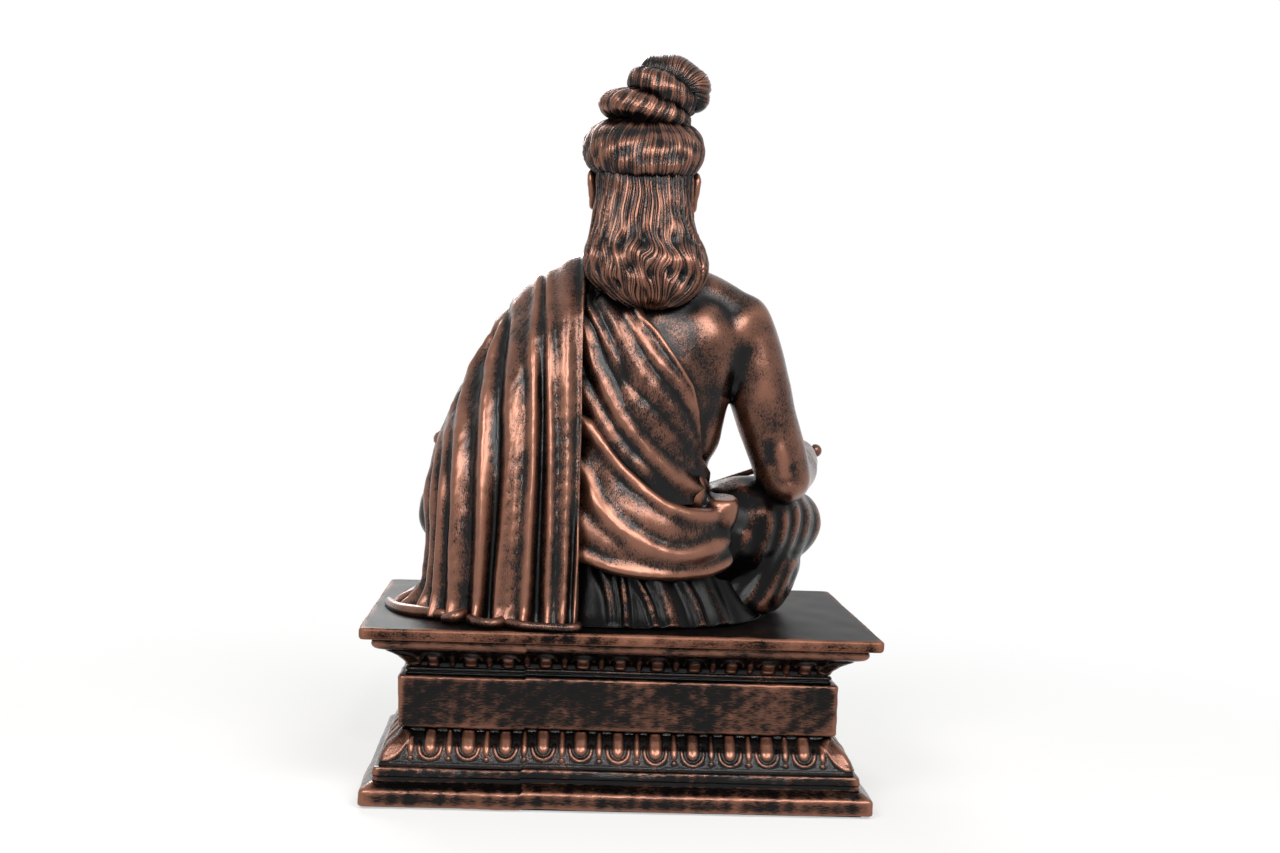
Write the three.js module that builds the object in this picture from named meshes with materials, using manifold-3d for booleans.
import * as THREE from "three";
import { mergeVertices } from "three/addons/utils/BufferGeometryUtils.js";
import Module from "manifold-3d";

const wasm = await Module();
wasm.setup();

// Driving dimensions in millimetres: +Z up, the figure faces -Y, its right hand is at -X
const GAP = 0.3;

// Pedestal
const SLAB_WIDTH = 202;
const SLAB_DEPTH = 140;
const SLAB_THICKNESS = 4.6;
const CORNICE_HEIGHT = 5.0;
const CORNICE_INSET_TOP = 4.5;
const CORNICE_INSET_BOTTOM = 9.0;
const UPPER_BAND_HEIGHT = 8.2;
const UPPER_BAND_INSET_BOTTOM = 18.5;
const FILLET_HEIGHT = 2.8;
const FILLET_INSET = 17.0;
const DADO_HEIGHT = 20.0;
const DADO_INSET = 14.7;
const NECKING_HEIGHT = 1.4;
const LOWER_BAND_HEIGHT = 13.0;
const LOWER_BAND_INSET_TOP = 17.5;
const LOWER_BAND_INSET_BOTTOM = 8.2;
const LOWER_BAND_SWELL = 1.2;
const STEP_HEIGHT = 5.2;
const STEP_INSET = 6.0;
const PLINTH_HEIGHT = 6.0;
const PLINTH_INSET = 1.5;
const BEVEL_HEIGHT = 2.8;
const FELT_THICKNESS = 1.0;
const FELT_INSET = 4.0;
const CORNER_RADIUS = 1.6;
const EDGE = 0.9;
const EGG_PITCH = 14.6;
const EGG_WIDTH = 8.0;
const UPPER_EGG_HEIGHT = 6.2;
const LOWER_EGG_HEIGHT = 9.6;
const EGG_PROUD = 1.5;
const DART_WIDTH = 3.4;
const DART_HEIGHT = 9.2;

// Fixings
const STUD_RADIUS = 3.0;
const STUD_CLEARANCE = 0.4;
const STUD_REACH = 70;
const POCKET_RADIUS = 12;
const WASHER_RADIUS = 9;
const WASHER_THICKNESS = 1.6;
const NUT_RADIUS = 5.8;
const NUT_HEIGHT = 5;
const STUD_TAIL = 1.2;
const SEAT_FIT = 0.05;
const THREAD_FIT = 0.15;
const DOWEL_RADIUS = 2.5;
const ARM_DOWEL_LENGTH = 22;
const NECK_DOWEL_LENGTH = 30;

// Figure landmarks, measured from the top of the slab
const WAIST_Z = 46;
const NECK_Z = 150;
const NECK_X = -5;
const NECK_Y = 7;
const CLOTH = 2.6;
const FOLD = 1.8;
const RIGHT_SHOULDER = [-49, 8, 122];
const RIGHT_ELBOW = [-67, 10, 57];
const RIGHT_WRIST = [-76, -36, 66.5];
const LEFT_SHOULDER = [33, 8, 118];
const LEFT_ELBOW = [59, 6, 61];
const LEFT_WRIST = [46, -37, 53];
const RIGHT_KNEE = [-73, -20, 36];
const LEFT_KNEE = [70.5, -18, 37];
const RIGHT_FOOT = { ankle: [8, -54, 9], toes: [30, -60, 7.2] };
const LEFT_FOOT = { ankle: [-12, -54, 9], toes: [-34, -58, 7.2] };
const WRITING_CURL = 0.9;
const HOLDING_CURL = 0.3;
const ARM_RADIUS = 13.6;
const CLOTHED_ARM_RADIUS = 12.2;
const ELBOW_RADIUS = 12;
const FOREARM_RADIUS = 10.5;
const WRIST_RADIUS = 6.6;
const KNEE_RADIUS = 15.5;
const THIGH_RADIUS = 20;
const HEAD_CENTRE = [-5, 0, 176];
const HEAD_RADII = [19.5, 24.5, 21];
const JAW_RADII = [15.5, 17, 16];
const NECK_RADIUS = 12.5;
const STYLUS_RADIUS = 1.4;
const STYLUS_KNOB = [-89, -50, 65];
const STYLUS_TIP = [-22, -53, 48.5];
const KNOB_RADIUS = 2.9;
const LEAF_SIZE = [74, 15, 4.6];
const LEAF_CENTRE = [10, -53, 54.5];
const LEAF_TILT = 0.1;

// Solids from closed surfaces
function outwardGeometry(positions, indices) {
  let volume = 0;
  const p = (i) => new THREE.Vector3().fromArray(positions, i * 3);
  for (let i = 0; i < indices.length; i += 3) {
    volume += p(indices[i]).dot(p(indices[i + 1]).cross(p(indices[i + 2])));
  }
  if (volume < 0) {
    indices.reverse();
  }
  const geometry = new THREE.BufferGeometry();
  geometry.setAttribute("position", new THREE.Float32BufferAttribute(positions, 3));
  geometry.setIndex(indices);
  return geometry;
}

function closeRings(rings, firstPole, lastPole) {
  const sides = rings[0].length;
  const positions = [...firstPole];
  rings.forEach((ring) => ring.forEach((point) => positions.push(...point)));
  positions.push(...lastPole);
  const last = positions.length / 3 - 1;
  const indices = [];
  for (let s = 0; s < sides; s += 1) {
    const n = (s + 1) % sides;
    indices.push(0, 1 + n, 1 + s);
    for (let r = 0; r < rings.length - 1; r += 1) {
      const low = 1 + r * sides;
      const high = low + sides;
      indices.push(low + s, low + n, high + n);
      indices.push(low + s, high + n, high + s);
    }
    const top = 1 + (rings.length - 1) * sides;
    indices.push(last, top + s, top + n);
  }
  return outwardGeometry(positions, indices);
}

function solid(geometry) {
  const plain = geometry.clone();
  plain.deleteAttribute("normal");
  plain.deleteAttribute("uv");
  const merged = mergeVertices(plain, 1e-4);
  return new wasm.Manifold(new wasm.Mesh({
    numProp: 3,
    vertProperties: new Float32Array(merged.attributes.position.array),
    triVerts: new Uint32Array(merged.index.array),
  }));
}

function join(...solids) {
  return solids.reduce((whole, next) => whole.add(next));
}

function cut(body, ...tools) {
  return tools.reduce((whole, tool) => whole.subtract(tool), body);
}

function largest(body) {
  return body.decompose().reduce((best, part) => (part.volume() > best.volume() ? part : best));
}

function toGeometry(body) {
  const mesh = body.getMesh();
  const positions = [];
  for (let i = 0; i < mesh.numVert; i += 1) {
    const at = i * mesh.numProp;
    positions.push(mesh.vertProperties[at], mesh.vertProperties[at + 1], mesh.vertProperties[at + 2]);
  }
  const geometry = new THREE.BufferGeometry();
  geometry.setAttribute("position", new THREE.Float32BufferAttribute(positions, 3));
  geometry.setIndex(Array.from(mesh.triVerts));
  return geometry;
}

// Smooth values through a list of rows of numbers
function through(rows) {
  const chunks = [];
  for (let k = 0; k < rows[0].length; k += 3) {
    const points = rows.map((row) => new THREE.Vector3(row[k], row[k + 1] ?? 0, row[k + 2] ?? 0));
    chunks.push(new THREE.CatmullRomCurve3(points));
  }
  return (t) => chunks.flatMap((curve) => curve.getPoint(t).toArray()).slice(0, rows[0].length);
}

// Level body: stations are [z, x, y, half width, half depth] from the bottom up
function levelBody({ stations, rings, sides, slope = 0, relief = () => 0 }, grow = 0) {
  const at = through(stations);
  const loops = [];
  for (let r = 0; r <= rings; r += 1) {
    const t = r / rings;
    const [z, x, y, a, b] = at(t);
    const edge = r === 0 ? -grow : (r === rings ? grow : 0);
    const loop = [];
    for (let s = 0; s < sides; s += 1) {
      const angle = (2 * Math.PI * s) / sides;
      const c = Math.cos(angle);
      const d = Math.sin(angle);
      const px = x + a * c;
      const py = y + b * d;
      const out = new THREE.Vector2(c / a, d / b).normalize();
      const by = grow + relief(px, py, z, angle, t);
      loop.push([px + out.x * by, py + out.y * by, z + edge + slope * (py - y)]);
    }
    loops.push(loop);
  }
  const [z0, x0, y0] = at(0);
  const [z1, x1, y1] = at(1);
  return closeRings(loops, [x0, y0, z0 - grow], [x1, y1, z1 + grow]);
}

// Limb with round ends: stations are [x, y, z, radius] along the limb
function limb({ stations, rings, sides, domes = [0.9, 0.5], relief = () => 0 }, grow = 0) {
  const at = through(stations);
  const loops = [];
  const frame = (t) => {
    const step = 1e-3;
    const a = new THREE.Vector3().fromArray(at(Math.max(0, t - step)));
    const b = new THREE.Vector3().fromArray(at(Math.min(1, t + step)));
    const along = b.sub(a).normalize();
    const reference = Math.abs(along.z) < 0.8 ? new THREE.Vector3(0, 0, 1) : new THREE.Vector3(0, 1, 0);
    const side = new THREE.Vector3().crossVectors(along, reference).normalize();
    return { along, side, up: new THREE.Vector3().crossVectors(side, along) };
  };
  const ring = (t, slide, share) => {
    const [x, y, z, radius] = at(t);
    const { along, side, up } = frame(t);
    const centre = new THREE.Vector3(x, y, z).addScaledVector(along, slide * (radius + grow));
    const loop = [];
    for (let s = 0; s < sides; s += 1) {
      const angle = (2 * Math.PI * s) / sides;
      const reach = (radius + grow + relief(angle, t)) * share;
      const point = centre.clone().addScaledVector(side, Math.cos(angle) * reach);
      loop.push(point.addScaledVector(up, Math.sin(angle) * reach).toArray());
    }
    return loop;
  };
  domes.forEach((slide) => loops.push(ring(0, -slide, Math.sqrt(1 - slide * slide))));
  for (let r = 0; r <= rings; r += 1) {
    loops.push(ring(r / rings, 0, 1));
  }
  [...domes].reverse().forEach((slide) => loops.push(ring(1, slide, Math.sqrt(1 - slide * slide))));
  const pole = (t, sign) => {
    const [x, y, z, radius] = at(t);
    return new THREE.Vector3(x, y, z).addScaledVector(frame(t).along, sign * (radius + grow)).toArray();
  };
  return closeRings(loops, pole(0, -1), pole(1, 1));
}

function ellipsoid({ centre, radii, tilt = [0, 0, 0], sides = 16, rings = 10 }, grow = 0) {
  const geometry = new THREE.SphereGeometry(1, sides, rings);
  geometry.rotateX(Math.PI / 2);
  geometry.scale(radii[0] + grow, radii[1] + grow, radii[2] + grow);
  geometry.rotateX(tilt[0]);
  geometry.rotateY(tilt[1]);
  geometry.rotateZ(tilt[2]);
  geometry.translate(...centre);
  return geometry;
}

function rod(from, to, radius, sides = 20) {
  const start = new THREE.Vector3(...from);
  const end = new THREE.Vector3(...to);
  const geometry = new THREE.CylinderGeometry(radius, radius, start.distanceTo(end), sides);
  const turn = new THREE.Quaternion().setFromUnitVectors(
    new THREE.Vector3(0, 1, 0),
    end.clone().sub(start).normalize(),
  );
  geometry.applyQuaternion(turn);
  geometry.translate(...start.add(end).multiplyScalar(0.5).toArray());
  return geometry;
}

function slabPrism(points, yFrom, yTo) {
  const shape = new THREE.Shape(points.map(([x, z]) => new THREE.Vector2(x, z)));
  const geometry = new THREE.ExtrudeGeometry(shape, { depth: yTo - yFrom, bevelEnabled: false });
  geometry.rotateX(Math.PI / 2);
  geometry.translate(0, yTo, 0);
  return geometry;
}

// Materials
function lacquer(color) {
  return new THREE.MeshStandardMaterial({ color, roughness: 0.38, metalness: 0.55 });
}

function steel() {
  return new THREE.MeshStandardMaterial({ color: 0x9a9c9e, roughness: 0.35, metalness: 1 });
}

function felt() {
  return new THREE.MeshStandardMaterial({ color: 0x23211f, roughness: 0.95, metalness: 0 });
}

const COPPER = 0x8a5a45;
const DARK_COPPER = 0x6b4334;

const statue = new THREE.Group();

function place(group, name, body, material) {
  const geometry = body.isBufferGeometry ? body : toGeometry(body);
  const mesh = new THREE.Mesh(geometry, material);
  mesh.name = name;
  group.add(mesh);
  return mesh;
}

// Pedestal levels from the bottom up
const FELT_TOP = FELT_THICKNESS;
const PLINTH_TOP = FELT_TOP + PLINTH_HEIGHT + BEVEL_HEIGHT;
const STEP_TOP = PLINTH_TOP + STEP_HEIGHT;
const LOWER_BAND_TOP = STEP_TOP + LOWER_BAND_HEIGHT;
const NECKING_TOP = LOWER_BAND_TOP + NECKING_HEIGHT;
const DADO_TOP = NECKING_TOP + DADO_HEIGHT;
const FILLET_TOP = DADO_TOP + FILLET_HEIGHT;
const UPPER_BAND_TOP = FILLET_TOP + UPPER_BAND_HEIGHT;
const CORNICE_TOP = UPPER_BAND_TOP + CORNICE_HEIGHT;
const SLAB_TOP = CORNICE_TOP + SLAB_THICKNESS;

// Course of the pedestal: profile points are [inset from the slab's edge, z]
function course(profile) {
  const corner = (inset) => {
    const w = SLAB_WIDTH / 2 - inset;
    const d = SLAB_DEPTH / 2 - inset;
    const loop = [];
    [[1, 1], [-1, 1], [-1, -1], [1, -1]].forEach(([sx, sy], quarter) => {
      for (let k = 0; k < 3; k += 1) {
        const angle = ((quarter + k / 2) * Math.PI) / 2;
        const x = sx * (w - CORNER_RADIUS) + Math.cos(angle) * CORNER_RADIUS;
        const y = sy * (d - CORNER_RADIUS) + Math.sin(angle) * CORNER_RADIUS;
        loop.push([x, y]);
      }
    });
    return loop;
  };
  const loops = profile.map(([inset, z]) => corner(inset).map(([x, y]) => [x, y, z]));
  return closeRings(loops, [0, 0, profile[0][1]], [0, 0, profile[profile.length - 1][1]]);
}

function bored(geometry, radius = STUD_RADIUS + STUD_CLEARANCE) {
  return cut(solid(geometry), solid(rod([0, 0, -1], [0, 0, SLAB_TOP + 1], radius)));
}

// Row of eggs along all four sides of a band, or with one more in each row the darts between them;
// insetAt gives the band's inset at a height
function bosses(middle, width, height, insetAt, more = 0) {
  const inset = insetAt(middle);
  const lean = Math.atan2(insetAt(middle - height / 2) - insetAt(middle + height / 2), height);
  const pieces = [];
  const row = (length, settle) => {
    const count = Math.floor(length / EGG_PITCH) + more;
    for (let k = 0; k < count; k += 1) {
      const boss = new THREE.OctahedronGeometry(1, 0);
      boss.scale(width / 2, EGG_PROUD, height / 2);
      boss.rotateX(-lean);
      boss.translate((k - (count - 1) / 2) * EGG_PITCH, 0, middle);
      settle(boss);
      pieces.push(solid(boss));
    }
  };
  const w = SLAB_WIDTH / 2 - inset;
  const d = SLAB_DEPTH / 2 - inset;
  row(2 * w - EGG_PITCH, (boss) => boss.translate(0, d, 0));
  row(2 * w - EGG_PITCH, (boss) => boss.rotateZ(Math.PI).translate(0, -d, 0));
  row(2 * d - EGG_PITCH, (boss) => boss.rotateZ(-Math.PI / 2).translate(w, 0, 0));
  row(2 * d - EGG_PITCH, (boss) => boss.rotateZ(Math.PI / 2).translate(-w, 0, 0));
  return join(...pieces);
}

function pedestal() {
  const line = (low, high, from, to) => (z) => from + ((to - from) * (z - low)) / (high - low);
  const lowerLine = line(STEP_TOP, LOWER_BAND_TOP, LOWER_BAND_INSET_BOTTOM, LOWER_BAND_INSET_TOP);
  const swell = (z) => LOWER_BAND_SWELL * Math.sin((Math.PI * (z - STEP_TOP)) / LOWER_BAND_HEIGHT);
  const lowerInset = (z) => lowerLine(z) - swell(z);
  const lowerMiddle = (STEP_TOP + LOWER_BAND_TOP) / 2;
  const upperInset = line(FILLET_TOP, UPPER_BAND_TOP, UPPER_BAND_INSET_BOTTOM, CORNICE_INSET_BOTTOM);
  const sheet = new THREE.BoxGeometry(
    SLAB_WIDTH - 2 * (PLINTH_INSET + FELT_INSET),
    SLAB_DEPTH - 2 * (PLINTH_INSET + FELT_INSET),
    FELT_THICKNESS,
  );
  sheet.translate(0, 0, FELT_THICKNESS / 2);
  place(statue, "base_felt", sheet, felt());
  const boardTop = FELT_TOP + PLINTH_HEIGHT;
  const plinth = course([
    [PLINTH_INSET + EDGE, FELT_TOP], [PLINTH_INSET, FELT_TOP + EDGE],
    [PLINTH_INSET, boardTop - EDGE], [PLINTH_INSET + EDGE, boardTop], [STEP_INSET, PLINTH_TOP],
  ]);
  place(statue, "foot_plinth", bored(plinth, POCKET_RADIUS), lacquer(COPPER));
  const step = course([
    [STEP_INSET, PLINTH_TOP], [STEP_INSET, STEP_TOP - EDGE], [STEP_INSET + EDGE, STEP_TOP],
  ]);
  place(statue, "foot_step", bored(step), lacquer(COPPER));
  const lowerBand = course([
    [LOWER_BAND_INSET_BOTTOM, STEP_TOP], [lowerInset(lowerMiddle), lowerMiddle],
    [LOWER_BAND_INSET_TOP, LOWER_BAND_TOP], [LOWER_BAND_INSET_TOP, NECKING_TOP],
  ]);
  const lowerEggs = bosses(lowerMiddle, EGG_WIDTH, LOWER_EGG_HEIGHT, lowerInset);
  const darts = bosses(lowerMiddle, DART_WIDTH, DART_HEIGHT, lowerInset, 1);
  place(statue, "lower_egg_band", join(bored(lowerBand), lowerEggs, darts), lacquer(DARK_COPPER));
  const dado = course([[DADO_INSET, NECKING_TOP], [DADO_INSET, DADO_TOP]]);
  place(statue, "dado_block", bored(dado), lacquer(COPPER));
  const groove = (DADO_TOP + FILLET_TOP) / 2;
  const upperBand = course([
    [FILLET_INSET, DADO_TOP], [FILLET_INSET, groove - EDGE / 3], [FILLET_INSET + EDGE, groove],
    [FILLET_INSET, groove + EDGE / 3], [FILLET_INSET, FILLET_TOP], [UPPER_BAND_INSET_BOTTOM, FILLET_TOP],
    [CORNICE_INSET_BOTTOM, UPPER_BAND_TOP],
  ]);
  const upperMiddle = (FILLET_TOP + UPPER_BAND_TOP) / 2;
  const upperEggs = bosses(upperMiddle, EGG_WIDTH, UPPER_EGG_HEIGHT, upperInset);
  place(statue, "upper_egg_band", join(bored(upperBand), upperEggs), lacquer(DARK_COPPER));
  const cornice = course([
    [CORNICE_INSET_BOTTOM, UPPER_BAND_TOP], [CORNICE_INSET_TOP + EDGE, UPPER_BAND_TOP + EDGE],
    [CORNICE_INSET_TOP, (UPPER_BAND_TOP + CORNICE_TOP) / 2], [CORNICE_INSET_TOP + EDGE, CORNICE_TOP],
  ]);
  place(statue, "cornice_moulding", bored(cornice), lacquer(COPPER));
  const slab = course([
    [EDGE, CORNICE_TOP], [0, CORNICE_TOP + EDGE], [0, SLAB_TOP - EDGE], [EDGE, SLAB_TOP],
  ]);
  place(statue, "top_slab", bored(slab), lacquer(COPPER));
}

// Clamp through the pedestal, up into the torso
function clamp() {
  const washerTop = PLINTH_TOP - SEAT_FIT;
  const nutTop = washerTop - WASHER_THICKNESS - SEAT_FIT;
  const hole = STUD_RADIUS + THREAD_FIT;
  const tail = nutTop - NUT_HEIGHT - STUD_TAIL;
  place(statue, "clamp_stud", rod([0, 0, tail], [0, 0, SLAB_TOP + STUD_REACH], STUD_RADIUS), steel());
  const bore = solid(rod([0, 0, 0], [0, 0, PLINTH_TOP], hole));
  const washer = rod([0, 0, washerTop - WASHER_THICKNESS], [0, 0, washerTop], WASHER_RADIUS, 24);
  place(statue, "clamp_washer", cut(solid(washer), bore), steel());
  const nut = rod([0, 0, nutTop - NUT_HEIGHT], [0, 0, nutTop], NUT_RADIUS, 6);
  place(statue, "clamp_nut", cut(solid(nut), bore), steel());
}

// Fold lines on the back and front of the cloth, as [x, z] points above the slab
const TORSO_FOLDS = [
  [[-4, 123], [-9, 113], [-22, 99], [-29, 86], [-32, 66]],
  [[7, 125], [0, 108], [-12, 91], [-24, 77], [-29, 64]],
  [[17, 130], [8, 108], [-4, 89], [-18, 74], [-28, 62]],
  [[24, 124], [11, 102], [1, 82], [-12, 66], [-24, 57]],
  [[28, 104], [14, 86], [2, 68], [-12, 56]],
];
const HIP_FOLDS = [
  [[34, 92], [16, 79], [6, 67], [-6, 55], [-16, 48], [-25, 45], [-37, 45], [-48, 47]],
  [[34, 76], [16, 60], [10, 48], [0, 39], [-11, 32], [-20, 28], [-28, 29], [-41, 32], [-50, 38]],
  [[34, 30], [15, 25], [5, 21], [-5, 19], [-20, 18], [-31, 18.5], [-41, 22], [-50, 28]],
];
function foldRelief(lines, width, height) {
  const curves = lines.map((line) => {
    const points = line.map(([x, z]) => new THREE.Vector3(x, 0, z));
    return new THREE.CatmullRomCurve3(points).getPoints(24);
  });
  return (x, y, z) => {
    let nearest = Infinity;
    curves.forEach((points) => points.forEach((point) => {
      nearest = Math.min(nearest, Math.hypot(point.x - x, point.z - z));
    }));
    return height * (2 * Math.exp(-((nearest / width) ** 2)) - 1);
  };
}

const TORSO_STATIONS = [
  [WAIST_Z + GAP, 0, 11, 37, 27], [60, 0, 12, 35, 26], [75, 0, 12.5, 34, 25], [90, -2.5, 12, 39.5, 25],
  [105, -5, 11, 41, 24.5], [120, -6, 10, 41.5, 21.5], [130, -6, 9, 38.5, 17], [136, -6, 8.5, 33.5, 14.5],
  [141, -6, 8, 27, 12.5], [146, -5.5, 7.5, 18.5, 11.5], [NECK_Z, NECK_X, NECK_Y, 13, 11],
];
const torsoForm = { stations: TORSO_STATIONS, rings: 10, sides: 20 };
const torsoWrapForm = {
  stations: TORSO_STATIONS.map(([z, x, y, a, b]) => [z, x, y, a + CLOTH, b + CLOTH]),
  rings: 15,
  sides: 32,
  relief: foldRelief(TORSO_FOLDS, 4.4, FOLD),
};
const SEAT_STATIONS = [
  [GAP, 0, 9, 60, 48], [6, 0, 9, 56, 44], [18, 0, 9, 48, 38], [34, 0, 10, 44, 34], [WAIST_Z, 0, 11, 38, 28],
];
const seatForm = {
  stations: SEAT_STATIONS,
  rings: 4,
  sides: 28,
  relief: (x, y, z, angle) => (z < 20 ? FOLD * 0.6 * Math.sin(angle * 9) : 0),
};
const HIP_STATIONS = [
  [17, 0, 10, 49, 38], [20, 0, 10, 51, 40], [30, 0, 10, 50, 39.5], [45, 0, 11, 48, 36],
  [55, -1, 12, 44, 32], [70, 1, 12.5, 39, 30], [88, -1, 12, 42, 29.5],
];
const hipForm = {
  stations: HIP_STATIONS,
  rings: 11,
  sides: 32,
  relief: foldRelief(HIP_FOLDS, 5.5, FOLD),
};

// Upper arm with its swell below the shoulder; bow moves the middle outward
function upperArm(shoulder, elbow, radius) {
  const bow = 0.8 * Math.sign(elbow[0]);
  const between = (t, share) => {
    const [x, y, z] = shoulder.map((value, k) => value + (elbow[k] - value) * t);
    return [x + bow * share, y, z];
  };
  return {
    stations: [
      [...shoulder, radius - 0.4], [...between(0.26, -1), radius + 0.9],
      [...between(0.58, -0.5), radius + 0.4], [...between(0.83, 0), radius - 0.8],
      [...elbow, ELBOW_RADIUS],
    ],
    rings: 6,
    sides: 14,
  };
}

function foreArm(elbow, wrist) {
  const middle = elbow.map((value, k) => (value + wrist[k]) / 2);
  const swell = [middle[0] + Math.sign(middle[0]) * 2, middle[1] + 2, middle[2] - 1];
  return {
    stations: [[...elbow, ELBOW_RADIUS - 0.6], [...swell, FOREARM_RADIUS], [...wrist, WRIST_RADIUS]],
    rings: 4,
    sides: 12,
  };
}

const rightUpperForm = upperArm(RIGHT_SHOULDER, RIGHT_ELBOW, ARM_RADIUS);
const leftUpperForm = upperArm(LEFT_SHOULDER, LEFT_ELBOW, CLOTHED_ARM_RADIUS);
const rightForeForm = foreArm(RIGHT_ELBOW, RIGHT_WRIST);
const leftForeForm = foreArm(LEFT_ELBOW, LEFT_WRIST);

function legForms(side, knee, shinEnd) {
  const [kx, ky, kz] = knee;
  const ripple = (angle) => 1.1 * Math.sin(angle * 6);
  const thigh = {
    stations: [
      [side * 22, 16, 24, THIGH_RADIUS + 2], [side * 50, 4, 32, THIGH_RADIUS], [...knee, KNEE_RADIUS],
    ],
    rings: 5,
    sides: 18,
    relief: ripple,
  };
  const shin = {
    stations: [[kx, ky - 2, kz - 3, KNEE_RADIUS - 2], [side * 40, shinEnd[1] + 4, 25, 13], shinEnd],
    rings: 5,
    sides: 16,
    relief: ripple,
  };
  const skirt = {
    stations: [
      [GAP, side * 42, -8, 28, 36], [10, side * 46, -8, 29, 33], [24, side * 52, -8, 27, 26],
    ],
    rings: 3,
    sides: 20,
  };
  return { thigh, shin, skirt };
}

const rightLegForms = legForms(-1, RIGHT_KNEE, [-2, -40, 16, 12.5]);
const leftLegForms = legForms(1, LEFT_KNEE, [-8, -53, 17, 12]);

function legSolid({ thigh, shin, skirt }, grow = 0) {
  return join(solid(limb(thigh, grow)), solid(limb(shin, grow)), solid(levelBody(skirt, grow)));
}

// Region of the chest and back that the diagonal cloth covers
const WRAP_REGION = [
  [70, 20], [-33, 20], [-33, 66], [-31, 85], [-28, 95], [-20, 107], [-9, 123], [2, 150], [70, 150],
];
const HIP_REGION = [
  [70, 10], [-70, 10], [-70, 54], [-37, 53], [-29, 50], [-14, 51], [-4, 58], [8, 70], [18, 82],
  [34, 96], [70, 100],
];

function region(points, right, up) {
  return solid(slabPrism(points.map(([x, z]) => [x - right, z + up]), -90, 90));
}

// Head, plain and calm, with ears, brow and nose
function headSolid(grow = 0) {
  const [x, y, z] = HEAD_CENTRE;
  const parts = [
    solid(ellipsoid({ centre: [x, y, z + 3], radii: HEAD_RADII, sides: 14, rings: 9 }, grow)),
    solid(ellipsoid({ centre: [x, y - 7, z - 10], radii: JAW_RADII, sides: 12, rings: 7 }, grow)),
    solid(limb({
      stations: [[NECK_X, NECK_Y - 1, NECK_Z + 4, NECK_RADIUS], [x, y + 3, z - 10, NECK_RADIUS]],
      rings: 1,
      sides: 12,
      domes: [0.6],
    }, grow)),
  ];
  [-1, 1].forEach((side) => {
    const ear = { centre: [x + side * 21.3, y + 1, z - 1], radii: [2.6, 4.6, 7.6], sides: 6, rings: 6 };
    parts.push(solid(ellipsoid(ear, grow)));
    const brow = { centre: [x + side * 7, y - 21, z + 5.5], radii: [7.5, 3.6, 2.6], sides: 6, rings: 4 };
    parts.push(solid(ellipsoid(brow, grow)));
  });
  const nose = {
    stations: [[x, y - 23, z + 4, 2], [x, y - 26, z - 6.5, 3]],
    rings: 1,
    sides: 8,
    domes: [0.7],
  };
  parts.push(solid(limb(nose, grow)));
  return join(...parts);
}

const hairForm = {
  stations: [
    [125, -7, 26, 11, 6], [130, -7, 24.5, 20, 10], [137, -6.5, 22.5, 25.5, 13.5], [146, -5.5, 20, 27, 16],
    [158, -4.5, 17, 22.8, 17], [170, -5, 15, 22, 18], [182, -5, 13, 22.5, 20], [189, -5, 11, 21, 20],
  ],
  rings: 8,
  sides: 24,
  relief: (x, y, z, angle) => 0.7 * Math.sin(angle * 12),
};
const rollForm = {
  stations: [
    [183, -4.5, 4, 18, 20], [186, -4.5, 4, 23, 25.5], [192, -4.5, 4, 24.8, 27], [198, -4.5, 4, 23.5, 25],
    [202.5, -4.8, 4, 18.5, 19.5], [204, -5, 4, 12, 13],
  ],
  rings: 5,
  sides: 22,
  slope: -0.13,
};
const lowerCoilForm = {
  centre: [-3.5, 4, 208.5],
  radii: [20.5, 19, 8],
  tilt: [0, -0.2, 0],
  sides: 16,
  rings: 8,
};
const upperCoilForm = {
  centre: [-11.5, 3.5, 216.5],
  radii: [15.5, 14.5, 7],
  tilt: [0, -0.42, 0],
  sides: 14,
  rings: 8,
};
const knotForm = {
  stations: [[-11.5, 3, 222.5, 7.4], [-18, 3, 223, 8.2], [-24.3, 3, 218.5, 7.4]],
  rings: 3,
  sides: 12,
};
const beardForm = {
  stations: [
    [122, -5, -25, 3, 2.5], [130, -5, -24, 9, 6], [143, -5, -22, 14, 8.5], [154, -5, -20, 16.5, 9.5],
    [161, -5, -17, 16.5, 9],
  ],
  rings: 6,
  sides: 18,
  relief: (x, y, z, angle) => 0.5 * Math.sin(angle * 9),
};

// Shoulder drape: rows run from the shoulder's front, over it and down to the slab; each row
// goes from the inner edge at the back to the outer edge at the figure's left side
const DRAPE_ROWS = [
  [[14, -17, 124], [22, -16, 122], [31, -15, 118], [39, -14, 113], [46, -12, 107], [50, -9, 101]],
  [[15, -7, 141], [23, -7, 139], [32, -8, 134], [41, -8, 128], [48, -8, 120], [53, -8, 111]],
  [[16, 12, 148], [25, 11, 145], [34, 10, 140], [43, 8, 133], [50, 4, 124], [55, -4, 113]],
  [[18.5, 33, 126], [28, 33, 124], [38, 30, 120], [48, 22, 116], [56, 10, 110], [58, -2, 103]],
  [[18.5, 42, 103], [32, 43, 102], [46, 38, 99], [57, 28, 96], [65, 13, 92], [66, -1, 87]],
  [[18, 47, 78], [34, 49, 77], [51, 45, 76], [65, 34, 74], [73, 17, 72], [74, 0, 70]],
  [[18, 52, 51], [36, 54, 51], [55, 50, 50], [70, 39, 50], [79, 20, 50], [80, 1, 50]],
  [[17.5, 57, 24], [36, 58, 24], [55, 53, 24], [71, 42, 24], [80, 23, 24], [81, 3, 24]],
  [[17.5, 61, 8], [37, 59, 8], [56, 53, 8], [73, 42, 8], [82, 25, 8], [84, 5, 8]],
  [[18, 65, 0.6], [38, 61, 0.6], [57, 54, 0.6], [76, 42, 0.6], [89, 25, 0.6], [94, 4, 0.6]],
];
const DRAPE_RIDGES = [0, 0.07, 0.14, 0.22, 0.3, 0.4, 0.52, 0.63, 0.74, 0.86, 1];
const DRAPE_THICKNESS = 3.6;
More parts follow.
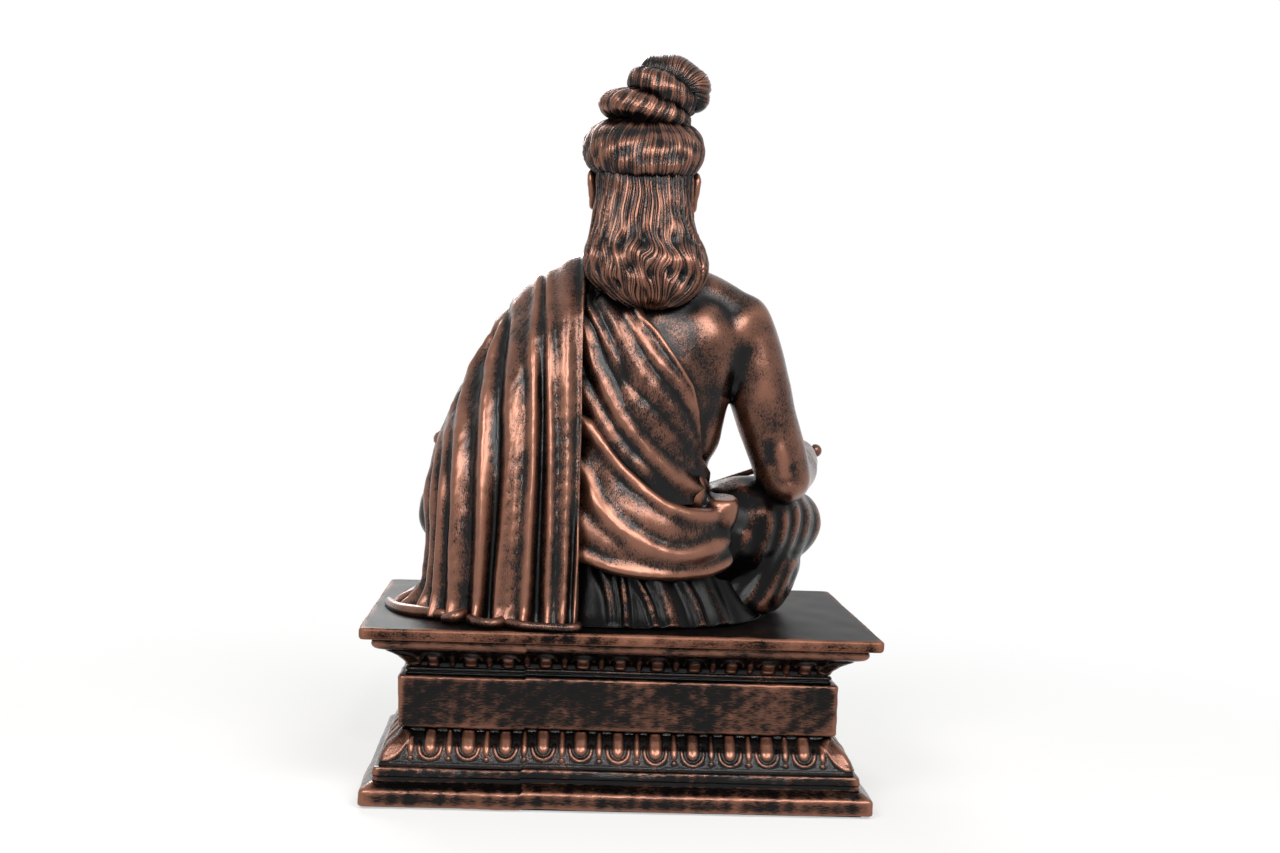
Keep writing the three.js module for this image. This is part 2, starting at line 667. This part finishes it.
const DRAPE_FOLD = 3.0;
const DRAPE_STEPS = 15;

function drapeSurface() {
  const curve = (row) => new THREE.CatmullRomCurve3(row.map((point) => new THREE.Vector3(...point)));
  const rows = DRAPE_ROWS.map(curve);
  return (u, t) => {
    const column = rows.map((row) => row.getPoint(u));
    return new THREE.CatmullRomCurve3(column).getPoint(t);
  };
}

function drapeSolid() {
  const surface = drapeSurface();
  const columns = [];
  DRAPE_RIDGES.forEach((ridge, k) => {
    columns.push([ridge, 1]);
    if (k + 1 < DRAPE_RIDGES.length) {
      columns.push([(ridge + DRAPE_RIDGES[k + 1]) / 2, -1]);
    }
  });
  const outer = [];
  const inner = [];
  for (let r = 0; r <= DRAPE_STEPS; r += 1) {
    const t = r / DRAPE_STEPS;
    const fade = Math.min(1, t * 4);
    columns.forEach(([u, sign]) => {
      const e = 0.01;
      const across = surface(Math.min(1, u + e), t).sub(surface(Math.max(0, u - e), t));
      const down = surface(u, Math.min(1, t + e)).sub(surface(u, Math.max(0, t - e)));
      const normal = across.cross(down).normalize();
      if (r === DRAPE_STEPS) {
        normal.z = 0;
        normal.normalize();
      }
      const here = surface(u, t);
      outer.push(here.clone().addScaledVector(normal, sign * (DRAPE_FOLD / 2) * fade));
      inner.push(here.clone().addScaledVector(normal, -DRAPE_THICKNESS));
    });
  }
  return sheetGeometry(outer, inner, columns.length, DRAPE_STEPS + 1);
}

function sheetGeometry(outer, inner, across, down) {
  const positions = [];
  [...outer, ...inner].forEach((p) => positions.push(p.x, p.y, Math.max(p.z, GAP)));
  const count = outer.length;
  const indices = [];
  const quad = (a, b, c, d) => indices.push(a, b, c, a, c, d);
  for (let r = 0; r < down - 1; r += 1) {
    for (let c = 0; c < across - 1; c += 1) {
      const i = r * across + c;
      quad(i, i + 1, i + across + 1, i + across);
      quad(count + i, count + i + across, count + i + across + 1, count + i + 1);
    }
    const left = r * across;
    const right = left + across - 1;
    quad(left, left + across, count + left + across, count + left);
    quad(right, count + right, count + right + across, right + across);
  }
  const bottom = (down - 1) * across;
  for (let c = 0; c < across - 1; c += 1) {
    quad(c, count + c, count + c + 1, c + 1);
    quad(bottom + c, bottom + c + 1, count + bottom + c + 1, count + bottom + c);
  }
  return outwardGeometry(positions, indices);
}

// Hand: palm and five fingers; curl bends them from the knuckles, in the hand's own frame
function handSolid(grow, curl) {
  const parts = [solid(ellipsoid({ centre: [0, -9, 0], radii: [9, 11, 4.8], sides: 8, rings: 6 }, grow))];
  const fingers = [[-6.6, 15, 1.9], [-2.2, 18, 2.1], [2.2, 17.5, 2.1], [6.4, 14, 2.0]];
  fingers.forEach(([x, length, radius]) => {
    const points = [[x, -15, 0.6, radius + 0.3]];
    let angle = 0;
    let at = [-15, 0.6];
    for (let k = 0; k < 3; k += 1) {
      angle += curl;
      at = [at[0] - (Math.cos(angle) * length) / 3, at[1] - (Math.sin(angle) * length) / 3];
      points.push([x, at[0], at[1], radius - 0.12 * k]);
    }
    parts.push(solid(limb({ stations: points, rings: 2, sides: 5, domes: [0.6] }, grow)));
  });
  const thumb = [[7, -4, -1, 2.9], [11, -10, -3, 2.6], [9, -16, -4.5, 2.2]];
  parts.push(solid(limb({ stations: thumb, rings: 2, sides: 5, domes: [0.6] }, grow)));
  return join(...parts);
}

function placedHand(wrist, turn, curl, palmUp) {
  const geometry = toGeometry(handSolid(0, curl));
  if (palmUp) {
    geometry.scale(1, 1, -1);
    geometry.setIndex(Array.from(geometry.index.array).reverse());
  }
  geometry.rotateX(turn[0]);
  geometry.rotateY(turn[1]);
  geometry.rotateZ(turn[2]);
  geometry.translate(...wrist);
  return solid(geometry);
}

function footSolid({ ankle, toes }) {
  const [ax, ay, az] = ankle;
  const [tx, ty, tz] = toes;
  const parts = [solid(limb({
    stations: [[ax, ay, az, 7], [(ax + tx) / 2, (ay + ty) / 2, (az + tz) / 2 + 0.5, 7], [tx, ty, tz, 5.6]],
    rings: 2,
    sides: 10,
    domes: [0.7],
  }))];
  const reach = Math.sign(tx - ax);
  for (let k = 0; k < 5; k += 1) {
    const y = ty - 6 + k * 2.9;
    const length = 9 - k * 1.1;
    const radius = k === 0 ? 2.6 : 1.9;
    parts.push(solid(limb({
      stations: [[tx, y, tz - 1, radius], [tx + reach * length, y, tz - 1.4, radius]],
      rings: 1,
      sides: 5,
      domes: [0.6],
    })));
  }
  return join(...parts);
}

function leafStack(grow) {
  const leaf = new THREE.BoxGeometry(...LEAF_SIZE.map((size) => size + 2 * grow));
  leaf.rotateY(-LEAF_TILT);
  leaf.rotateZ(-LEAF_TILT);
  leaf.translate(...LEAF_CENTRE);
  return solid(leaf);
}

function stylusSolid(grow) {
  const knob = { centre: STYLUS_KNOB, radii: [KNOB_RADIUS, KNOB_RADIUS, KNOB_RADIUS], sides: 10, rings: 8 };
  return join(
    solid(rod(STYLUS_KNOB, STYLUS_TIP, STYLUS_RADIUS + grow, 10)),
    solid(ellipsoid(knob, grow)),
  );
}

// Pins: the neck pin runs up from the torso, the arm pins run out into the shoulders
function pinEnds() {
  const low = NECK_Z - NECK_DOWEL_LENGTH / 2;
  const out = ([x, y, z]) => {
    const reach = Math.sign(x) * ARM_DOWEL_LENGTH;
    return [[x - reach * 0.7, y, z - 6], [x + reach * 0.3, y, z - 6]];
  };
  return {
    neck_dowel: [[NECK_X, NECK_Y - 2, low], [NECK_X, NECK_Y - 2, low + NECK_DOWEL_LENGTH]],
    right_arm_dowel: out(RIGHT_SHOULDER),
    left_arm_dowel: out(LEFT_SHOULDER),
  };
}

// Every casting as a solid that can be grown by a clearance
const castings = {
  torso: (grow) => solid(levelBody(torsoForm, grow)),
  torso_wrap: (grow) => solid(levelBody(torsoWrapForm, grow)).intersect(region(WRAP_REGION, grow, grow)),
  hip_wrap: (grow) => solid(levelBody(hipForm, grow)).intersect(region(HIP_REGION, 0, grow * 1.5)),
  seat_skirt: (grow) => solid(levelBody(seatForm, grow)),
  right_leg: (grow) => legSolid(rightLegForms, grow),
  left_leg: (grow) => legSolid(leftLegForms, grow),
  right_foot: () => footSolid(RIGHT_FOOT),
  left_foot: () => footSolid(LEFT_FOOT),
  right_upper_arm: (grow) => solid(limb(rightUpperForm, grow)),
  right_forearm: (grow) => solid(limb(rightForeForm, grow)),
  left_upper_arm: (grow) => solid(limb(leftUpperForm, grow)),
  left_forearm: (grow) => solid(limb(leftForeForm, grow)),
  right_hand: () => placedHand(RIGHT_WRIST, [0, 0, -0.05], WRITING_CURL, false),
  left_hand: () => placedHand(LEFT_WRIST, [0, 0, -0.95], HOLDING_CURL, true),
  stylus: (grow) => stylusSolid(grow),
  palm_leaf_manuscript: (grow) => leafStack(grow),
  head: (grow) => headSolid(grow),
  beard: (grow) => solid(levelBody(beardForm, grow)),
  back_hair: (grow) => solid(levelBody(hairForm, grow)),
  hair_roll: (grow) => solid(levelBody(rollForm, grow)),
  hair_coil_lower: (grow) => solid(ellipsoid(lowerCoilForm, grow)),
  hair_coil_upper: (grow) => solid(ellipsoid(upperCoilForm, grow)),
  topknot: (grow) => solid(limb(knotForm, grow)),
  shoulder_drape: () => solid(drapeSolid()),
};

// What each casting is cut back from, so that it seats on its neighbours
const seats = {
  torso: ["right_leg", "left_leg"],
  hip_wrap: ["torso", "seat_skirt", "right_leg", "left_leg", "left_upper_arm"],
  torso_wrap: ["torso", "hip_wrap", "right_upper_arm", "left_upper_arm", "head", "beard"],
  seat_skirt: ["right_leg", "left_leg"],
  right_leg: ["left_leg"],
  left_leg: [],
  right_foot: ["right_leg", "left_leg"],
  left_foot: ["right_leg", "left_leg"],
  right_upper_arm: ["torso", "right_leg"],
  left_upper_arm: ["torso", "left_leg"],
  right_forearm: ["right_upper_arm", "right_leg"],
  left_forearm: ["left_upper_arm", "left_leg"],
  right_hand: ["right_forearm", "stylus", "right_leg"],
  left_hand: ["left_forearm", "palm_leaf_manuscript", "left_leg"],
  stylus: ["palm_leaf_manuscript"],
  palm_leaf_manuscript: [],
  head: ["torso"],
  beard: ["head"],
  hair_roll: ["head"],
  back_hair: ["head", "torso", "torso_wrap", "hair_roll", "right_upper_arm", "left_upper_arm"],
  hair_coil_lower: ["hair_roll"],
  hair_coil_upper: ["hair_coil_lower", "hair_roll"],
  topknot: ["hair_coil_upper", "hair_coil_lower"],
  shoulder_drape: [
    "left_upper_arm", "torso", "torso_wrap", "hip_wrap", "seat_skirt", "left_leg", "back_hair",
  ],
};

const bores = {
  torso: ["clamp_stud", "neck_dowel", "right_arm_dowel", "left_arm_dowel"],
  torso_wrap: ["right_arm_dowel", "left_arm_dowel"],
  seat_skirt: ["clamp_stud"],
  head: ["neck_dowel"],
  right_upper_arm: ["right_arm_dowel"],
  left_upper_arm: ["left_arm_dowel"],
};

function figure() {
  const body = new THREE.Group();
  body.position.z = SLAB_TOP;
  statue.add(body);
  const pins = pinEnds();
  const holes = {
    clamp_stud: solid(rod([0, 0, -1], [0, 0, STUD_REACH + 1], STUD_RADIUS + STUD_CLEARANCE)),
  };
  Object.entries(pins).forEach(([name, [from, to]]) => {
    const along = new THREE.Vector3(...to).sub(new THREE.Vector3(...from));
    along.setLength(STUD_CLEARANCE);
    const start = new THREE.Vector3(...from).sub(along).toArray();
    const end = new THREE.Vector3(...to).add(along).toArray();
    holes[name] = solid(rod(start, end, DOWEL_RADIUS + STUD_CLEARANCE / 2, 12));
    place(body, name, rod(from, to, DOWEL_RADIUS, 12), steel());
  });
  const grown = {};
  Object.keys(seats).forEach((name) => {
    grown[name] = castings[name](GAP);
  });
  Object.entries(seats).forEach(([name, neighbours]) => {
    const tools = neighbours.map((other) => grown[other]);
    (bores[name] ?? []).forEach((hole) => tools.push(holes[hole]));
    const color = name === "seat_skirt" ? DARK_COPPER : COPPER;
    place(body, name, largest(cut(castings[name](0), ...tools)), lacquer(color));
  });
}

pedestal();
clamp();
figure();

export default statue;
